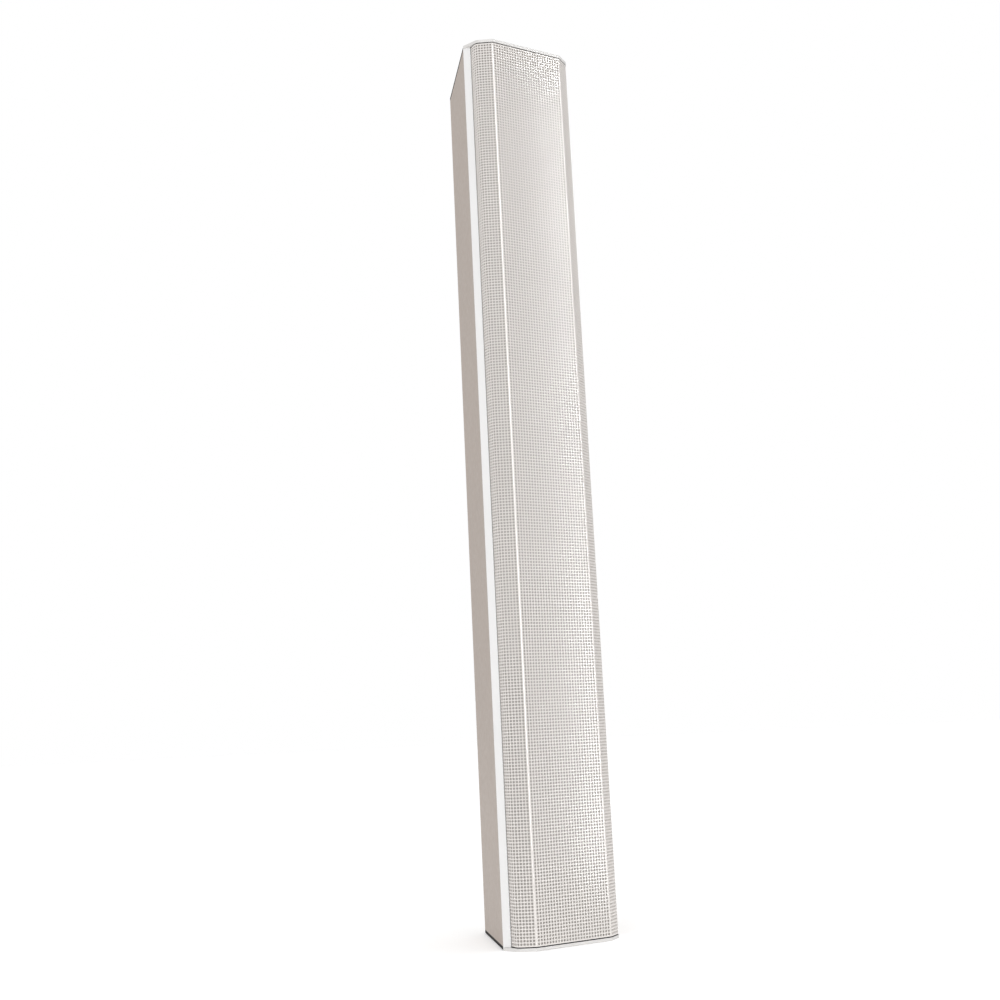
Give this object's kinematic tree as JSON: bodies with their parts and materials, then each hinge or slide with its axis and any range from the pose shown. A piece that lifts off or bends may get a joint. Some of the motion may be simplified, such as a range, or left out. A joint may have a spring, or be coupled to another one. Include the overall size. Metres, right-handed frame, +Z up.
{
  "type": "line array speaker",
  "caption": "Slim tapered column loudspeaker with a bowed perforated grille between bright side trims, a line of full-range drivers and a rear connection cover.",
  "frame": {"origin": "middle of the base, on the surface that the speaker stands on", "axes": "+Z up along the column, -Y out of the grille, +X to the right seen from the front"},
  "size_m": [0.1644, 0.1962, 1.2],
  "materials": {
    "enclosure_paint": "satin powder coat",
    "trim_paint": "satin paint",
    "rim_paint": "satin paint",
    "grille_paint": "fine satin powder coat",
    "cap_plastic": "moulded, lightly textured",
    "seal_rubber": "matt",
    "cloth": "woven",
    "baffle_board": "stained board",
    "zinc_steel": "zinc plated",
    "basket_paint": "matt black",
    "motor_iron": "plated plates and sintered ferrite",
    "cone_plastic": "mineral-filled cone",
    "surround_rubber": "soft, matt",
    "lamination_steel": "varnished laminations",
    "copper_wire": "enamelled wire",
    "wadding": "loose fibre",
    "wire_insulation": "smooth insulation",
    "gland_nylon": "moulded",
    "terminal_nylon": "moulded",
    "switch_plastic": "moulded",
    "knob_plastic": "satin"
  },
  "bodies": {
    "column": {"enclosure_extrusion": "enclosure_paint", "front_trim_left": "trim_paint", "front_trim_right": "trim_paint", "top_rim_trim": "rim_paint", "bottom_rim_trim": "rim_paint", "top_end_cap": "cap_plastic", "bottom_end_cap": "cap_plastic", "end_cap_gaskets": "seal_rubber", "end_cap_screws": "zinc_steel", "front_grille": "grille_paint", "grille_cloth": "cloth", "grille_edge_seals": "seal_rubber", "baffle": "baffle_board", "baffle_gasket": "seal_rubber", "front_screws": "zinc_steel", "transformer_core": "lamination_steel", "transformer_winding": "copper_wire", "transformer_frame": "zinc_steel", "damping_wool": "wadding", "wiring_harness": "wire_insulation", "connection_cover": "enclosure_paint", "cover_gasket": "seal_rubber", "cover_screws": "zinc_steel", "cable_gland": "gland_nylon", "terminal_block": "terminal_nylon", "tap_selector_switch": "switch_plastic", "mounting_inserts": "zinc_steel", "driver_1_basket": "basket_paint", "driver_1_motor": "motor_iron", "driver_1_suspension": "surround_rubber", "driver_2_basket": "basket_paint", "driver_2_motor": "motor_iron", "driver_2_suspension": "surround_rubber", "driver_3_basket": "basket_paint", "driver_3_motor": "motor_iron", "driver_3_suspension": "surround_rubber", "driver_4_basket": "basket_paint", "driver_4_motor": "motor_iron", "driver_4_suspension": "surround_rubber", "driver_5_basket": "basket_paint", "driver_5_motor": "motor_iron", "driver_5_suspension": "surround_rubber", "driver_6_basket": "basket_paint", "driver_6_motor": "motor_iron", "driver_6_suspension": "surround_rubber", "driver_7_basket": "basket_paint", "driver_7_motor": "motor_iron", "driver_7_suspension": "surround_rubber", "driver_8_basket": "basket_paint", "driver_8_motor": "motor_iron", "driver_8_suspension": "surround_rubber"},
    "cone_1": {"driver_1_cone": "cone_plastic"},
    "cone_2": {"driver_2_cone": "cone_plastic"},
    "cone_3": {"driver_3_cone": "cone_plastic"},
    "cone_4": {"driver_4_cone": "cone_plastic"},
    "cone_5": {"driver_5_cone": "cone_plastic"},
    "cone_6": {"driver_6_cone": "cone_plastic"},
    "cone_7": {"driver_7_cone": "cone_plastic"},
    "cone_8": {"driver_8_cone": "cone_plastic"},
    "selector": {"tap_selector_knob": "knob_plastic"}
  },
  "joints": [
    {"name": "cone_1_travel", "type": "slide", "parent": "column", "child": "cone_1", "axis": [0, -1, 0], "range_m": [-0.0025, 0.0025], "stiffness_N_per_m": 2000, "deforming": ["driver_1_suspension"]},
    {"name": "cone_2_travel", "type": "slide", "parent": "column", "child": "cone_2", "axis": [0, -1, 0], "range_m": [-0.0025, 0.0025], "stiffness_N_per_m": 2000, "deforming": ["driver_2_suspension"]},
    {"name": "cone_3_travel", "type": "slide", "parent": "column", "child": "cone_3", "axis": [0, -1, 0], "range_m": [-0.0025, 0.0025], "stiffness_N_per_m": 2000, "deforming": ["driver_3_suspension"]},
    {"name": "cone_4_travel", "type": "slide", "parent": "column", "child": "cone_4", "axis": [0, -1, 0], "range_m": [-0.0025, 0.0025], "stiffness_N_per_m": 2000, "deforming": ["driver_4_suspension"]},
    {"name": "cone_5_travel", "type": "slide", "parent": "column", "child": "cone_5", "axis": [0, -1, 0], "range_m": [-0.0025, 0.0025], "stiffness_N_per_m": 2000, "deforming": ["driver_5_suspension"]},
    {"name": "cone_6_travel", "type": "slide", "parent": "column", "child": "cone_6", "axis": [0, -1, 0], "range_m": [-0.0025, 0.0025], "stiffness_N_per_m": 2000, "deforming": ["driver_6_suspension"]},
    {"name": "cone_7_travel", "type": "slide", "parent": "column", "child": "cone_7", "axis": [0, -1, 0], "range_m": [-0.0025, 0.0025], "stiffness_N_per_m": 2000, "deforming": ["driver_7_suspension"]},
    {"name": "cone_8_travel", "type": "slide", "parent": "column", "child": "cone_8", "axis": [0, -1, 0], "range_m": [-0.0025, 0.0025], "stiffness_N_per_m": 2000, "deforming": ["driver_8_suspension"]},
    {"name": "tap_selector_turn", "type": "hinge", "parent": "column", "child": "selector", "pos_m": [0, 0.08365, 0.178], "axis": [0, 1, 0], "range_deg": [-60, 60]}
  ],
  "couplings": [
    {"joint": "cone_2_travel", "follows": "cone_1_travel", "ratio": 1},
    {"joint": "cone_3_travel", "follows": "cone_1_travel", "ratio": 1},
    {"joint": "cone_4_travel", "follows": "cone_1_travel", "ratio": 1},
    {"joint": "cone_5_travel", "follows": "cone_1_travel", "ratio": 1},
    {"joint": "cone_6_travel", "follows": "cone_1_travel", "ratio": 1},
    {"joint": "cone_7_travel", "follows": "cone_1_travel", "ratio": 1},
    {"joint": "cone_8_travel", "follows": "cone_1_travel", "ratio": 1}
  ]
}
